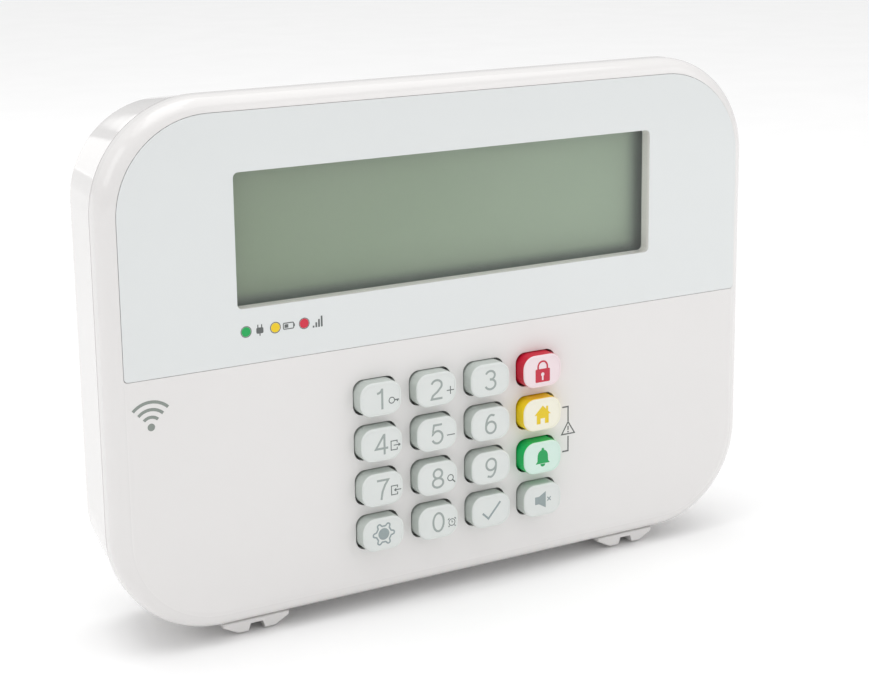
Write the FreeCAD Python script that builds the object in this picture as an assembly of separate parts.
"""Alarm keypad panel: a white desk or wall panel with a display, sixteen keys and two clip-in feet.

Frame, in millimetres: X runs to the user's right, Y runs from the front of the panel to its back,
Z is up. The origin is the centre of the footprint, on the surface that the panel stands on.
"""
import FreeCAD
import Part
import math
import os

os.makedirs("parts", exist_ok=True)

# ---------------------------------------------------------------- driving dimensions
PANEL_W = 150.0
PANEL_H = 110.0
PANEL_D = 30.0
FOOT_STANDOFF = 3.3        # body's lowest line above the table
KEY_PROUD = 3.0            # how far the keys stand out of the front face
CORNER_R = 22.0
FRONT_EDGE_R = 4.2
WALL = 2.2
COVER_DEPTH = 6.0          # depth of the front housing's outer wall
SEAM_GAP = 0.2
BACK_INSET = 3.0           # how far the rear housing tapers in towards the wall

LENS_INSET = 3.2
LENS_BOTTOM = 57.2
LENS_THICK = 1.5
LENS_FIT = 0.08
TAPE_THICK = 0.3
SHELF_THICK = 1.0
WINDOW_W = 96.8
WINDOW_Z = (68.3, 95.1)
WINDOW_R = 1.1

KEY_W = 9.4
KEY_H = 7.1
KEY_R = 2.8
KEY_PITCH_X = 12.83
KEY_PITCH_Z = 9.58
KEY_CENTRE_Z = 32.1
KEY_TRAVEL = 1.2
KEY_GAP = 0.2              # gap between a key and its hole in the front housing
KEY_HOLE_R = 2.2

BOARD_THICK = 1.6
BOARD_FRONT_Y = -3.4

FOOT_X = 45.3
FOOT_W = 14.5
FOOT_Y = (-8.7, 12.5)      # front and back ends of the feet
FOOT_BOTTOM = 0.4          # the rubber strips lift the moulded foot this far off the table
PEG_R = 1.5
PEG_Y = (0.5, 8.5)         # places of a foot's two pegs
PEG_FIT = 0.05

CELL_R = 5.25
CELL_LEN = 44.5
CELL_PITCH = 10.8
CELL_COUNT = 4
CELL_CENTRE_Z = 43.5

# ---------------------------------------------------------------- planes worked out from them
BACK_Y = PANEL_D / 2
FRONT_Y = -PANEL_D / 2 + KEY_PROUD
KEY_FACE_Y = -PANEL_D / 2
COVER_Y = FRONT_Y + COVER_DEPTH
REAR_Y = COVER_Y + SEAM_GAP
HALF_W = PANEL_W / 2
BODY_LOW = FOOT_STANDOFF
BODY_TOP = PANEL_H
WALL_FRONT_Y = FRONT_Y + WALL
BACK_WALL_Y = BACK_Y - WALL
LENS_BACK_Y = FRONT_Y + LENS_THICK
SHELF_FRONT_Y = LENS_BACK_Y + TAPE_THICK
SHELF_BACK_Y = SHELF_FRONT_Y + SHELF_THICK
BOARD_BACK_Y = BOARD_FRONT_Y + BOARD_THICK
TAPER = BACK_INSET / (BACK_Y - REAR_Y)

X_AXIS = FreeCAD.Vector(1, 0, 0)
Y_AXIS = FreeCAD.Vector(0, 1, 0)


# ---------------------------------------------------------------- shared shape makers
def block(x0, x1, y0, y1, z0, z1):
    """A rectangular block between two corners."""
    return Part.makeBox(x1 - x0, y1 - y0, z1 - z0, FreeCAD.Vector(x0, y0, z0))


def rod_y(x, z, radius, y0, y1):
    """A round bar along Y."""
    return Part.makeCylinder(radius, y1 - y0, FreeCAD.Vector(x, y0, z), Y_AXIS)


def rod_x(y, z, radius, x0, x1):
    """A round bar along X."""
    return Part.makeCylinder(radius, x1 - x0, FreeCAD.Vector(x0, y, z), X_AXIS)


def rod_z(x, y, radius, z0, z1):
    """A cylinder along Z."""
    return Part.makeCylinder(radius, z1 - z0, FreeCAD.Vector(x, y, z0), FreeCAD.Vector(0, 0, 1))


def outline(x0, x1, z0, z1, r_low, r_top, y):
    """A closed wire in a plane of constant Y, with one corner radius below and one above."""
    edges = []
    corners = [(x1, z0, r_low, 270), (x1, z1, r_top, 0), (x0, z1, r_top, 90), (x0, z0, r_low, 180)]
    previous = None
    first = None
    for x, z, radius, start in corners:
        cx = x - radius if x == x1 else x + radius
        cz = z - radius if z == z1 else z + radius
        points = []
        for angle in (start, start + 45, start + 90):
            a = math.radians(angle)
            points.append(FreeCAD.Vector(cx + radius * math.cos(a), y, cz + radius * math.sin(a)))
        if previous is None:
            first = points[0]
        else:
            edges.append(Part.makeLine(previous, points[0]))
        edges.append(Part.Arc(*points).toShape())
        previous = points[2]
    edges.append(Part.makeLine(previous, first))
    return Part.Wire(edges)


def plate(x0, x1, z0, z1, radius, y0, y1, r_top=None):
    """A rounded rectangular plate that is y1 - y0 thick."""
    top = radius if r_top is None else r_top
    face = Part.Face(outline(x0, x1, z0, z1, radius, top, y0))
    return face.extrude(FreeCAD.Vector(0, y1 - y0, 0))


def body_plate(inset, y0, y1):
    """A plate of the panel's own outline, made smaller by an inset all round."""
    return plate(-HALF_W + inset, HALF_W - inset, BODY_LOW + inset, BODY_TOP - inset,
                 CORNER_R - inset, y0, y1)


def rear_loft(inset, y0, y1):
    """The rear housing's tapering form between two planes, made smaller by an inset."""
    wires = []
    for y in (y0, y1):
        grown = inset + TAPER * (y - REAR_Y)
        wires.append(outline(-HALF_W + grown, HALF_W - grown, BODY_LOW + grown, BODY_TOP - grown,
                             CORNER_R - grown, CORNER_R - grown, y))
    return Part.makeLoft(wires, True, True)


def edges_at_y(shape, y):
    """The edges of a shape that lie wholly in one plane of constant Y."""
    found = []
    for edge in shape.Edges:
        box = edge.BoundBox
        if abs(box.YMin - y) < 1e-4 and abs(box.YMax - y) < 1e-4:
            found.append(edge)
    return found


def join(shapes):
    """One solid from several that touch or overlap."""
    whole = shapes[0].multiFuse(shapes[1:]) if len(shapes) > 1 else shapes[0]
    return whole.removeSplitter()


def save(name, shape):
    """Write one sub-part."""
    shape.exportStep("parts/" + name + ".step")


# ---------------------------------------------------------------- key places
KEY_COLUMNS = [(column - 1.5) * KEY_PITCH_X for column in range(4)]
KEY_ROWS = [KEY_CENTRE_Z + (1.5 - row) * KEY_PITCH_Z for row in range(4)]
KEY_NAMES = [["key_1", "key_2", "key_3", "key_lock"],
             ["key_4", "key_5", "key_6", "key_home"],
             ["key_7", "key_8", "key_9", "key_bell"],
             ["key_settings", "key_0", "key_confirm", "key_mute"]]


def key_places():
    """Name and centre of each key."""
    for row, names in enumerate(KEY_NAMES):
        for column, name in enumerate(names):
            yield name, KEY_COLUMNS[column], KEY_ROWS[row]


def key_prism(x, z, width, height, radius, y0, y1):
    """A rounded prism centred on a key's place."""
    return plate(x - width / 2, x + width / 2, z - height / 2, z + height / 2, radius, y0, y1)


# ---------------------------------------------------------------- screw places
HOUSING_SCREWS = [(-64.0, 18.0), (64.0, 18.0), (-64.0, 96.0), (64.0, 96.0)]
HOUSING_SCREW_R = 1.45
SCREW_SEAT_Y = 3.0
BOSS_END_Y = -2.0
BOSS_R = 3.5
BOARD_SCREWS = [(-54.0, 15.5), (54.0, 15.5), (-54.0, 60.5), (54.0, 60.5), (-56.5, 98.0), (56.5, 98.0)]
BOARD_SCREW_R = 1.0
BOARD_BOSS_R = 2.2


# ---------------------------------------------------------------- front housing
def lens_plate(grow, y0, y1):
    """The display lens's outline: it follows the panel's edge above and is cut straight below."""
    inset = LENS_INSET - grow
    return plate(-HALF_W + inset, HALF_W - inset, LENS_BOTTOM - grow, BODY_TOP - inset,
                 0.8, y0, y1, r_top=CORNER_R - inset)


def window_plate(grow, y0, y1):
    """The display window's outline."""
    half = WINDOW_W / 2 + grow
    return plate(-half, half, WINDOW_Z[0] - grow, WINDOW_Z[1] + grow, WINDOW_R + grow, y0, y1)


def make_front_housing():
    """Shallow white cover with the lens pocket, the window, the key holes and the screw bosses."""
    shell = body_plate(0, FRONT_Y, COVER_Y)
    shell = shell.makeFillet(FRONT_EDGE_R, edges_at_y(shell, FRONT_Y))
    shell = shell.cut(body_plate(WALL, SHELF_BACK_Y, COVER_Y + 1))
    lower_room = block(-HALF_W, HALF_W, WALL_FRONT_Y, SHELF_BACK_Y + 0.1, 0, LENS_BOTTOM - 1.2)
    shell = shell.cut(body_plate(WALL, WALL_FRONT_Y, COVER_Y).common(lower_room))
    shell = shell.cut(lens_plate(LENS_FIT, FRONT_Y - 1, SHELF_FRONT_Y))
    shell = shell.cut(window_plate(0, FRONT_Y, COVER_Y))
    holes = []
    for name, x, z in key_places():
        holes.append(key_prism(x, z, KEY_W + 2 * KEY_GAP, KEY_H + 2 * KEY_GAP, KEY_HOLE_R,
                               FRONT_Y - 1, SHELF_BACK_Y + 1))
    shell = shell.cut(Part.makeCompound(holes))
    added = [shell]
    for x, z in HOUSING_SCREWS:
        added.append(rod_y(x, z, BOSS_R, WALL_FRONT_Y - 0.2, BOSS_END_Y))
    for x, z in BOARD_SCREWS:
        added.append(rod_y(x, z, BOARD_BOSS_R, WALL_FRONT_Y - 0.2, BOARD_FRONT_Y))
    shell = join(added)
    bores = []
    for x, z in HOUSING_SCREWS:
        bores.append(rod_y(x, z, HOUSING_SCREW_R, -8.2, BOSS_END_Y + 1))
    for x, z in BOARD_SCREWS:
        bores.append(rod_y(x, z, BOARD_SCREW_R, -8.2, BOARD_FRONT_Y + 1))
    return shell.cut(Part.makeCompound(bores))


def make_lens():
    """Flat acrylic lens, flush with the front face; its outer edge is slightly eased."""
    lens = lens_plate(0, FRONT_Y, LENS_BACK_Y)
    return lens.makeFillet(0.2, edges_at_y(lens, FRONT_Y))


def make_lens_tape():
    """Foam adhesive frame that holds the lens on its shelf."""
    border = 4.0
    tape = lens_plate(-0.4, LENS_BACK_Y, SHELF_FRONT_Y)
    inner = plate(-HALF_W + LENS_INSET + border, HALF_W - LENS_INSET - border,
                  LENS_BOTTOM + border, BODY_TOP - LENS_INSET - border,
                  1.0, LENS_BACK_Y - 1, SHELF_FRONT_Y + 1, r_top=CORNER_R - LENS_INSET - border)
    return tape.cut(inner)


# ---------------------------------------------------------------- display module
LCD_HALF_W = 52.5
LCD_Z = (65.1, 98.3)
LCD_FRONT_Y = SHELF_BACK_Y + 0.1
LCD_THICK = 2.2
GUIDE_THICK = 3.0
BEZEL_GAP = 0.15
BEZEL_WALL = 1.0
RIBBON_HALF_W = 16.0
RIBBON_Y = LCD_FRONT_Y + 1.1
RIBBON_THICK = 0.3
SOCKET_Z = (59.4, 62.4)


def make_lcd_glass():
    """The display cell: two bonded sheets of glass with polarising film."""
    return plate(-LCD_HALF_W, LCD_HALF_W, LCD_Z[0], LCD_Z[1], 0.3, LCD_FRONT_Y, LCD_FRONT_Y + LCD_THICK)


def make_lcd_backlight():
    """Light guide panel behind the display cell."""
    y0 = LCD_FRONT_Y + LCD_THICK + 0.1
    return plate(-LCD_HALF_W, LCD_HALF_W, LCD_Z[0], LCD_Z[1], 0.3, y0, y0 + GUIDE_THICK)


def make_lcd_bezel():
    """Pressed-steel frame round the glass and the light guide, standing on the board."""
    low = LCD_Z[0] - BEZEL_GAP
    high = LCD_Z[1] + BEZEL_GAP
    half = LCD_HALF_W + BEZEL_GAP
    frame = plate(-half - BEZEL_WALL, half + BEZEL_WALL, low - BEZEL_WALL, high + BEZEL_WALL,
                  1.0, LCD_FRONT_Y, BOARD_FRONT_Y)
    frame = frame.cut(plate(-half, half, low, high, 0.4, LCD_FRONT_Y - 1, BOARD_FRONT_Y + 1))
    slot = block(-RIBBON_HALF_W - 0.5, RIBBON_HALF_W + 0.5, RIBBON_Y - 0.4, RIBBON_Y + RIBBON_THICK + 0.4,
                 low - BEZEL_WALL - 1, low + 0.2)
    return frame.cut(slot)


def make_display_ribbon():
    """Flat flexible lead from the glass to its socket on the board."""
    run = block(-RIBBON_HALF_W, RIBBON_HALF_W, RIBBON_Y, RIBBON_Y + RIBBON_THICK, 60.8, LCD_Z[0])
    drop = block(-RIBBON_HALF_W, RIBBON_HALF_W, RIBBON_Y, BOARD_FRONT_Y - 1.0, 60.8, 60.8 + RIBBON_THICK)
    return join([run, drop])


def make_display_socket():
    """Ribbon socket soldered to the front of the board."""
    body = block(-RIBBON_HALF_W - 1.5, RIBBON_HALF_W + 1.5, BOARD_FRONT_Y - 2.2, BOARD_FRONT_Y,
                 SOCKET_Z[0], SOCKET_Z[1])
    slot = block(-RIBBON_HALF_W - 0.2, RIBBON_HALF_W + 0.2, BOARD_FRONT_Y - 2.3, BOARD_FRONT_Y - 0.9,
                 60.7, 60.9 + RIBBON_THICK)
    return body.cut(slot)


# ---------------------------------------------------------------- keys and their mat
FLANGE_Y = WALL_FRONT_Y + 0.3
FLANGE_THICK = 0.8
FLANGE_GROW = 1.4
STEM_SHRINK = 1.0
MAT_THICK = 1.0
MAT_RIM = 1.2
MAT_HOLE_GAP = 0.6
FACE_POCKET = 0.06         # shallow bed of the printed face
FACE_RIM = 0.5
KEY_END_Y = BOARD_FRONT_Y - 0.1 - KEY_TRAVEL


def make_key(x, z):
    """A silicone key: the printed cap, the flange that keeps it in, and the stem to its contact."""
    cap = key_prism(x, z, KEY_W, KEY_H, KEY_R, KEY_FACE_Y, FLANGE_Y)
    cap = cap.makeFillet(0.45, edges_at_y(cap, KEY_FACE_Y))
    cap = cap.cut(key_prism(x, z, KEY_W - 2 * FACE_RIM, KEY_H - 2 * FACE_RIM, KEY_R - FACE_RIM,
                            KEY_FACE_Y - 1, KEY_FACE_Y + FACE_POCKET))
    flange = key_prism(x, z, KEY_W + FLANGE_GROW, KEY_H + FLANGE_GROW, KEY_R + 0.5,
                       FLANGE_Y, FLANGE_Y + FLANGE_THICK)
    stem = key_prism(x, z, KEY_W - STEM_SHRINK, KEY_H - STEM_SHRINK, KEY_R - 0.5,
                     FLANGE_Y + FLANGE_THICK, KEY_END_Y)
    return join([cap, flange, stem])


def make_key_mat():
    """Silicone sheet on the board, with a raised rim round the hole of each key's stem."""
    margin = 6.2
    y0 = BOARD_FRONT_Y - MAT_THICK
    mat = plate(KEY_COLUMNS[0] - margin, KEY_COLUMNS[3] + margin, KEY_ROWS[3] - margin + 1.0,
                KEY_ROWS[0] + margin - 1.0, 2.0, y0, BOARD_FRONT_Y)
    rims = [mat]
    holes = []
    hole_w = KEY_W - STEM_SHRINK + MAT_HOLE_GAP
    hole_h = KEY_H - STEM_SHRINK + MAT_HOLE_GAP
    for name, x, z in key_places():
        rims.append(key_prism(x, z, hole_w + 2.0, hole_h + 2.0, KEY_R, y0 - MAT_RIM, y0))
        holes.append(key_prism(x, z, hole_w, hole_h, KEY_R - 0.4, y0 - MAT_RIM - 1, BOARD_FRONT_Y + 1))
    return join(rims).cut(Part.makeCompound(holes))


# ---------------------------------------------------------------- circuit board and what it carries
JACK_Z = 35.0
JACK_Y = 3.2
TAMPER_X = 48.0
TAMPER_Z = 82.0
SOUNDER_X = -50.0
SOUNDER_Z = 82.0
SOUNDER_R = 12.0


def make_main_board():
    """Green fibreglass board, with a tongue on its right for the power socket."""
    board = plate(-59.0, 59.0, 11.0, 102.0, 4.0, BOARD_FRONT_Y, BOARD_BACK_Y)
    tongue = block(50.0, 69.5, BOARD_FRONT_Y, BOARD_BACK_Y, JACK_Z - 7.0, JACK_Z + 7.0)
    board = join([board, tongue])
    holes = [rod_y(x, z, 1.3, BOARD_FRONT_Y - 1, BOARD_BACK_Y + 1) for x, z in BOARD_SCREWS]
    return board.cut(Part.makeCompound(holes))


def make_board_screws():
    """Six small pan-head screws from behind the board into the front housing's bosses."""
    screws = []
    for x, z in BOARD_SCREWS:
        head = rod_y(x, z, 2.0, BOARD_BACK_Y, BOARD_BACK_Y + 1.2)
        shank = rod_y(x, z, BOARD_SCREW_R, -7.6, BOARD_BACK_Y)
        recess = rod_y(x, z, 0.9, BOARD_BACK_Y + 0.6, BOARD_BACK_Y + 2)
        screws.append(join([head, shank]).cut(recess))
    return Part.makeCompound(screws)


def make_processor_chip():
    """Main controller chip on the back of the board."""
    return plate(-12.0, 2.0, 78.0, 92.0, 0.5, BOARD_BACK_Y, BOARD_BACK_Y + 1.4)


def make_radio_module():
    """Radio daughter board with its screening can."""
    base = block(22.0, 40.0, BOARD_BACK_Y, BOARD_BACK_Y + 1.0, 84.0, 100.0)
    can = plate(24.0, 38.0, 86.0, 97.0, 0.8, BOARD_BACK_Y + 1.0, BOARD_BACK_Y + 3.2)
    return join([base, can])


def make_antenna_wire():
    """Copper whip that stands on the radio module and runs along the top of the housing."""
    radius = 0.6
    foot = rod_y(31.0, 98.5, radius, BOARD_BACK_Y + 1.0, 4.0)
    riser = Part.makeCylinder(radius, 4.8, FreeCAD.Vector(31.0, 4.0, 98.5), FreeCAD.Vector(0, 0, 1))
    whip = rod_x(4.0, 103.3, radius, -41.0, 31.0)
    knees = [Part.makeSphere(radius, FreeCAD.Vector(31.0, 4.0, z)) for z in (98.5, 103.3)]
    return join([foot, riser, whip] + knees)


def make_sounder():
    """Round piezo sounder behind the slots in the rear housing."""
    can = rod_y(SOUNDER_X, SOUNDER_Z, SOUNDER_R, 3.0, 12.0)
    port = rod_y(SOUNDER_X, SOUNDER_Z, 1.5, 8.0, 13.0)
    return can.cut(port)


def make_tamper_switch():
    """Microswitch on the board, under the tamper plunger."""
    body = plate(TAMPER_X - 6.5, TAMPER_X + 6.5, TAMPER_Z - 3.2, TAMPER_Z + 3.2, 0.5,
                 BOARD_BACK_Y, 3.2)
    button = rod_y(TAMPER_X, TAMPER_Z, 1.2, 3.2, 4.0)
    return join([body, button])


def make_tamper_plunger():
    """Round plunger, pressed in by the wall or the wall plate when the panel is mounted."""
    flange_y = 9.7
    rod = rod_y(TAMPER_X, TAMPER_Z, 2.5, 5.7, 14.6)
    rod = rod.makeFillet(0.5, edges_at_y(rod, 14.6))
    flange = rod_y(TAMPER_X, TAMPER_Z, 3.8, flange_y, flange_y + 1.0)
    return join([rod, flange])


JACK_X = (58.5, 70.5)
JACK_BORE_R = 3.1
JACK_BORE_END_X = 61.0
JACK_PIN_R = 1.0
JACK_PIN_TIP_X = 67.1


def make_power_jack():
    """Block of the low-voltage socket, its mouth facing the panel's right side."""
    body = block(JACK_X[0], JACK_X[1], BOARD_BACK_Y, JACK_Y + 5.0, JACK_Z - 4.5, JACK_Z + 4.5)
    return body.cut(rod_x(JACK_Y, JACK_Z, JACK_BORE_R, JACK_BORE_END_X, JACK_X[1] + 1))


def make_power_jack_pin():
    """Centre contact of the socket."""
    pin = rod_x(JACK_Y, JACK_Z, JACK_PIN_R, JACK_BORE_END_X, JACK_PIN_TIP_X)
    tip = [edge for edge in pin.Edges if abs(edge.BoundBox.XMin - JACK_PIN_TIP_X) < 1e-4]
    return pin.makeFillet(0.5, tip)


# ---------------------------------------------------------------- battery bay sizes
BAY_HALF_W = 29.8
BAY_Z = (21.7, 65.3)
BAY_WALL = 1.4
BAY_FLOOR_Y = 0.5
CONTACT_X = 26.0
CONTACT_THICK = 0.4
DOOR_HALF_W = 27.85
DOOR_GAP = 0.15
DOOR_TOP = 66.0
DOOR_LOW = BODY_LOW + BACK_INSET + 0.15
DOOR_THICK = 2.0
RAIL_Y = (11.6, 12.6)
RAIL_X = 29.6
LEDGE_Y = (10.0, 11.3)
CELL_Y = BAY_FLOOR_Y + 0.15 + CELL_R
CELL_ROWS = [CELL_CENTRE_Z + (row - 1.5) * CELL_PITCH for row in range(CELL_COUNT)]


# ---------------------------------------------------------------- rear housing
WALL_HOLES = [(-42.0, 28.0), (42.0, 28.0), (-42.0, 98.0), (42.0, 98.0)]
WALL_HOLE_R = 2.25
LIP_DEPTH = 1.8
LIP_GAP = 0.2
LIP_THICK = 1.2
LIP_ROOT = 1.2
LABEL_BOX = (-24.0, 24.0, 72.0, 98.0)
LABEL_DEPTH = 0.3


def rear_shell():
    """Tapering tub with a lip that reaches into the front housing."""
    shell = rear_loft(0, REAR_Y, BACK_Y)
    shell = shell.makeFillet(1.4, edges_at_y(shell, BACK_Y))
    shell = shell.cut(rear_loft(WALL, REAR_Y, BACK_WALL_Y))
    lip = body_plate(WALL + LIP_GAP, REAR_Y - LIP_DEPTH, REAR_Y + LIP_ROOT)
    root = body_plate(WALL / 2, REAR_Y, REAR_Y + LIP_ROOT)
    ring = lip.fuse(root)
    ring = ring.cut(body_plate(WALL + LIP_GAP + LIP_THICK, REAR_Y - LIP_DEPTH - 1, REAR_Y + 2 * LIP_ROOT))
    return join([shell, ring])


def battery_bay():
    """Open box for the cells, standing inwards from the back wall, with two contact walls."""
    bay = block(-BAY_HALF_W - BAY_WALL, BAY_HALF_W + BAY_WALL, BAY_FLOOR_Y - BAY_WALL,
                BACK_WALL_Y + 0.5, BAY_Z[0] - BAY_WALL, BAY_Z[1] + BAY_WALL)
    bay = bay.cut(block(-BAY_HALF_W, BAY_HALF_W, BAY_FLOOR_Y, BACK_WALL_Y, BAY_Z[0], BAY_Z[1]))
    parts = [bay]
    for side in (-1, 1):
        near = side * (CONTACT_X + CONTACT_THICK)
        far = near + side * 1.2
        parts.append(block(min(near, far), max(near, far), BAY_FLOOR_Y - 0.2, 9.0,
                           BAY_Z[0] - 0.2, BAY_Z[1] + 0.2))
    return join(parts)


def door_ledge():
    """Wall under the lower part of the battery door, down to the housing's bottom."""
    ledge = block(-BAY_HALF_W - BAY_WALL, BAY_HALF_W + BAY_WALL, LEDGE_Y[0], BACK_WALL_Y + 0.5,
                  BODY_LOW + BACK_INSET, BAY_Z[0] - BAY_WALL + 0.2)
    room = block(-BAY_HALF_W, BAY_HALF_W, LEDGE_Y[1], BACK_WALL_Y,
                 BODY_LOW - 1, BAY_Z[0] - BAY_WALL)
    return ledge.cut(room)


def make_rear_housing():
    """White tub: battery bay, screw towers, wall-screw holes, sounder slots and peg holes for the feet."""
    added = [rear_shell(), battery_bay(), door_ledge()]
    for x, z in HOUSING_SCREWS:
        added.append(rod_y(x, z, BOSS_R, BOSS_END_Y + 0.1, BACK_WALL_Y + 0.5))
    for x, z in WALL_HOLES:
        added.append(rod_y(x, z, WALL_HOLE_R + 1.6, BACK_WALL_Y - 1.0, BACK_WALL_Y + 0.5))
    ring = rod_y(SOUNDER_X, SOUNDER_Z, SOUNDER_R + 1.4, 8.0, BACK_WALL_Y + 0.5)
    added.append(ring.cut(rod_y(SOUNDER_X, SOUNDER_Z, SOUNDER_R + 0.2, 7.0, BACK_WALL_Y)))
    added.append(rod_y(TAMPER_X, TAMPER_Z, 5.0, 10.9, BACK_WALL_Y + 0.5))
    shell = join(added)

    cuts = []
    for x, z in HOUSING_SCREWS:
        cuts.append(rod_y(x, z, 3.0, SCREW_SEAT_Y, BACK_Y + 1))
        cuts.append(rod_y(x, z, HOUSING_SCREW_R + 0.25, BOSS_END_Y - 1, SCREW_SEAT_Y + 1))
    for x, z in WALL_HOLES:
        cuts.append(rod_y(x, z, WALL_HOLE_R, BACK_WALL_Y - 2, BACK_Y + 1))
    cuts.append(rod_y(TAMPER_X, TAMPER_Z, 2.6, 9.0, BACK_Y + 1))
    for slot in range(6):
        z = SOUNDER_Z + (slot - 2.5) * 3.2
        cuts.append(plate(SOUNDER_X - 7.5, SOUNDER_X + 7.5, z - 0.8, z + 0.8, 0.79,
                          BACK_WALL_Y - 0.5, BACK_Y + 1))
    cuts.append(rod_x(JACK_Y, JACK_Z, 4.6, 70.6, HALF_W + 1))
    for x in (-FOOT_X, FOOT_X):
        for y in PEG_Y:
            cuts.append(rod_z(x, y, PEG_R + PEG_FIT, BODY_LOW - 1, BODY_LOW + WALL + BACK_INSET + 1))
    cuts.append(plate(*LABEL_BOX, 1.5, BACK_Y - LABEL_DEPTH, BACK_Y + 1))
    door_half = DOOR_HALF_W + DOOR_GAP
    cuts.append(block(-door_half, door_half, BACK_WALL_Y - 0.1, BACK_Y + 1, BODY_LOW - 1,
                      DOOR_TOP + DOOR_GAP))
    cuts.append(block(-BAY_HALF_W, BAY_HALF_W, LEDGE_Y[1], BACK_WALL_Y, BODY_LOW - 1,
                      BAY_Z[0] + 1.0))
    return shell.cut(Part.makeCompound(cuts))


def make_housing_screws():
    """Four long pan-head screws that hold the two housings together."""
    screws = []
    for x, z in HOUSING_SCREWS:
        head = rod_y(x, z, 2.7, SCREW_SEAT_Y, SCREW_SEAT_Y + 1.8)
        head = head.makeFillet(0.6, edges_at_y(head, SCREW_SEAT_Y + 1.8))
        shank = rod_y(x, z, HOUSING_SCREW_R, -7.9, SCREW_SEAT_Y)
        screw = join([head, shank])
        slots = []
        for half_x, half_z in ((1.5, 0.35), (0.35, 1.5)):
            slots.append(block(x - half_x, x + half_x, SCREW_SEAT_Y + 0.8, SCREW_SEAT_Y + 3,
                               z - half_z, z + half_z))
        screws.append(screw.cut(Part.makeCompound(slots)))
    return Part.makeCompound(screws)


def make_rating_label():
    """Blank rating label in its shallow recess."""
    x0, x1, z0, z1 = LABEL_BOX
    return plate(x0 + 0.3, x1 - 0.3, z0 + 0.3, z1 - 0.3, 1.2, BACK_Y - LABEL_DEPTH, BACK_Y - 0.1)


# ---------------------------------------------------------------- batteries
def make_battery_cells():
    """Four AAA cells, side by side, turned end for end in alternate rows."""
    cells = []
    for row, z in enumerate(CELL_ROWS):
        side = 1 if row % 2 == 0 else -1
        ends = sorted((side * CONTACT_X, side * (CONTACT_X - CELL_LEN)))
        tip = 0.9
        can = rod_x(CELL_Y, z, CELL_R, ends[0] + (tip if side < 0 else 0), ends[1] - (tip if side > 0 else 0))
        can = can.makeFillet(0.5, [e for e in can.Edges if e.BoundBox.XLength < 1e-6])
        button = rod_x(CELL_Y, z, 1.9, ends[0], ends[0] + 2.0)
        if side > 0:
            button = rod_x(CELL_Y, z, 1.9, ends[1] - 2.0, ends[1])
        cells.append(join([can, button]))
    return Part.makeCompound(cells)


def make_battery_plates():
    """Eight nickel contact plates, two to a cell."""
    plates = []
    for z in CELL_ROWS:
        for side in (-1, 1):
            x0 = CONTACT_X if side > 0 else -CONTACT_X - CONTACT_THICK
            plates.append(block(x0, x0 + CONTACT_THICK, 1.4, 10.4, z - 4.2, z + 4.2))
    return Part.makeCompound(plates)


def make_battery_springs():
    """Four wire springs that press the cells against the opposite plates, as rings on a wire link."""
    wire_r = 0.35
    coil_r = 3.0
    ring_count = 4
    link_r = 0.28
    link_in = 0.13
    link_up = 0.11
    link_end = 0.19
    length = 2 * CONTACT_X - CELL_LEN
    pitch = (length - 2 * wire_r - 0.1) / (ring_count - 1)
    springs = []
    for row, z in enumerate(CELL_ROWS):
        start = -CONTACT_X if row % 2 == 0 else CONTACT_X - length
        first = start + wire_r + 0.05
        last = first + (ring_count - 1) * pitch
        pieces = [rod_x(CELL_Y + coil_r - link_in, z + link_up, link_r, first - link_end, last + link_end)]
        for ring in range(ring_count):
            place = FreeCAD.Vector(first + ring * pitch, CELL_Y, z)
            pieces.append(Part.makeTorus(coil_r, wire_r, place, X_AXIS))
        springs.append(join(pieces))
    return Part.makeCompound(springs)


def make_battery_door():
    """Flush door that slides down off the battery bay, with three rails on each side."""
    y0 = BACK_Y - DOOR_THICK
    door = block(-DOOR_HALF_W, DOOR_HALF_W, y0, BACK_Y, DOOR_LOW, DOOR_TOP)
    low_edges = [e for e in edges_at_y(door, BACK_Y) if e.BoundBox.ZMax < DOOR_LOW + 0.01]
    door = door.makeFillet(1.2, low_edges)
    parts = [door]
    for side in (-1, 1):
        for z0, z1 in ((12.0, 18.0), (36.0, 44.0), (58.0, 64.0)):
            inner = sorted((side * 26.6, side * RAIL_X))
            neck = sorted((side * 26.6, side * (DOOR_HALF_W - 0.15)))
            parts.append(block(inner[0], inner[1], RAIL_Y[0], RAIL_Y[1], z0, z1))
            parts.append(block(neck[0], neck[1], RAIL_Y[1], y0, z0, z1))
    door = join(parts)
    ridges = []
    for groove in range(5):
        z = 54.0 + groove * 2.0
        ridges.append(plate(-8.0, 8.0, z - 0.45, z + 0.45, 0.44, BACK_Y - 0.5, BACK_Y + 1))
    return door.cut(Part.makeCompound(ridges))


# ---------------------------------------------------------------- clip-in feet and their pads
FOOT_CLEAR = 0.3           # gap between a foot and the front housing above it
CHAMFER_W = 3.2            # the slanted lower corners
CHAMFER_H = 1.7
NOTCH_DEPTH = 8.0
NOTCH_H = 1.65
NOTCH_LOW_HALF_W = 1.9
NOTCH_HIGH_HALF_W = 1.35
PEG_END_Z = 6.2
PAD_Y = (-7.6, 10.5)
PAD_OFFSET = (2.15, 3.95)  # near and far edge of a strip from the foot's middle
PAD_RECESS = 0.4
PAD_CORNER_R = 0.6


def prism_y(corners, y0, y1):
    """A straight prism along Y from corners given as X and Z."""
    points = [FreeCAD.Vector(x, y0, z) for x, z in corners]
    face = Part.Face(Part.makePolygon(points + points[:1]))
    return face.extrude(FreeCAD.Vector(0, y1 - y0, 0))


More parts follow.
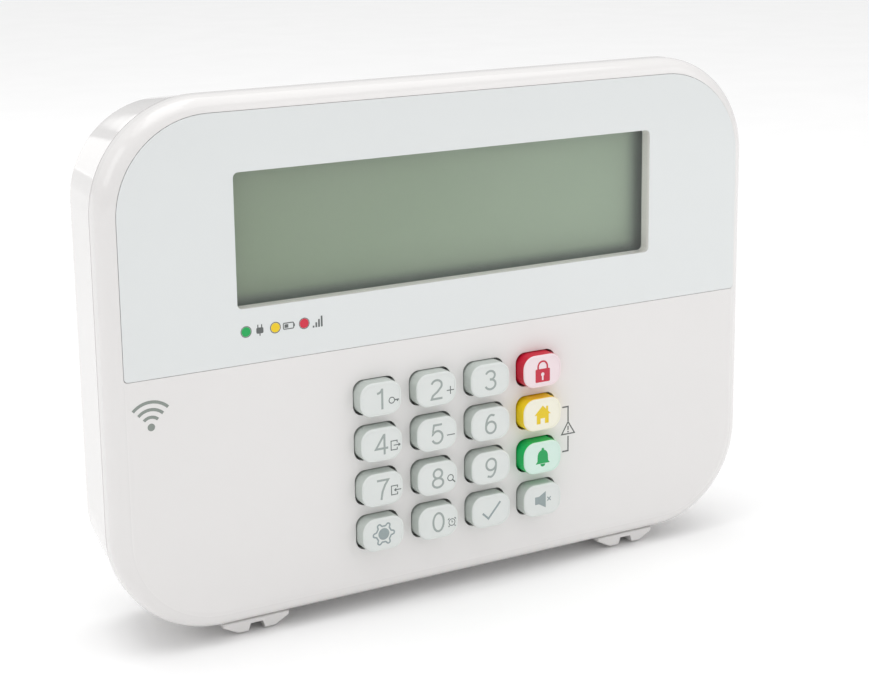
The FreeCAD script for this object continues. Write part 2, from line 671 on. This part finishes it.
def pad_strips(x):
    """Two strips with rounded ends, one each side of a foot's notch."""
    strips = []
    for side in (-1, 1):
        edges = sorted((x + side * PAD_OFFSET[0], x + side * PAD_OFFSET[1]))
        strip = block(edges[0], edges[1], *PAD_Y, 0, FOOT_BOTTOM + PAD_RECESS)
        upright = [edge for edge in strip.Edges if edge.BoundBox.ZLength > PAD_RECESS]
        strips.append(strip.makeFillet(PAD_CORNER_R, upright))
    return Part.makeCompound(strips)


def make_foot(x):
    """Moulded foot: slanted lower corners, a finger notch in front and a top that fits the housing."""
    half = FOOT_W / 2
    low = FOOT_BOTTOM
    section = [(x - half, PEG_END_Z), (x - half, low + CHAMFER_H), (x - half + CHAMFER_W, low),
               (x + half - CHAMFER_W, low), (x + half, low + CHAMFER_H), (x + half, PEG_END_Z)]
    foot = prism_y(section, *FOOT_Y)
    back_top = BODY_LOW + TAPER * (FOOT_Y[1] - REAR_Y)
    side_profile = [(FOOT_Y[0], 0), (FOOT_Y[0], BODY_LOW - FOOT_CLEAR), (REAR_Y, BODY_LOW - FOOT_CLEAR),
                    (REAR_Y, BODY_LOW), (FOOT_Y[1], back_top), (FOOT_Y[1], 0)]
    points = [FreeCAD.Vector(x - half - 1, y, z) for y, z in side_profile]
    side_shape = Part.Face(Part.makePolygon(points + points[:1])).extrude(FreeCAD.Vector(FOOT_W + 2, 0, 0))
    foot = foot.common(side_shape)
    foot = foot.makeFillet(0.4, edges_at_y(foot, FOOT_Y[0]))
    pegs = [rod_z(x, y, PEG_R, BODY_LOW, PEG_END_Z) for y in PEG_Y]
    foot = join([foot] + pegs)
    roof = low + NOTCH_H
    notch = [(x - NOTCH_LOW_HALF_W, -1), (x - NOTCH_LOW_HALF_W, low), (x - NOTCH_HIGH_HALF_W, roof),
             (x + NOTCH_HIGH_HALF_W, roof), (x + NOTCH_LOW_HALF_W, low), (x + NOTCH_LOW_HALF_W, -1)]
    foot = foot.cut(prism_y(notch, FOOT_Y[0] - 1, FOOT_Y[0] + NOTCH_DEPTH))
    return foot.cut(pad_strips(x))


# ---------------------------------------------------------------- write every sub-part
SINGLE_PARTS = {
    "front_housing": make_front_housing,
    "display_lens": make_lens,
    "lens_tape": make_lens_tape,
    "lcd_glass": make_lcd_glass,
    "lcd_backlight": make_lcd_backlight,
    "lcd_bezel": make_lcd_bezel,
    "display_ribbon": make_display_ribbon,
    "display_socket": make_display_socket,
    "key_mat": make_key_mat,
    "main_board": make_main_board,
    "board_screws": make_board_screws,
    "processor_chip": make_processor_chip,
    "radio_module": make_radio_module,
    "antenna_wire": make_antenna_wire,
    "sounder": make_sounder,
    "tamper_switch": make_tamper_switch,
    "tamper_plunger": make_tamper_plunger,
    "power_jack": make_power_jack,
    "power_jack_pin": make_power_jack_pin,
    "rear_housing": make_rear_housing,
    "housing_screws": make_housing_screws,
    "rating_label": make_rating_label,
    "battery_cells": make_battery_cells,
    "battery_plates": make_battery_plates,
    "battery_springs": make_battery_springs,
    "battery_door": make_battery_door,
}

for part_name, maker in SINGLE_PARTS.items():
    save(part_name, maker())

for key_name, key_x, key_z in key_places():
    save(key_name, make_key(key_x, key_z))

for side_name, foot_x in (("left", -FOOT_X), ("right", FOOT_X)):
    save(side_name + "_foot", make_foot(foot_x))
    save(side_name + "_foot_pads", pad_strips(foot_x))
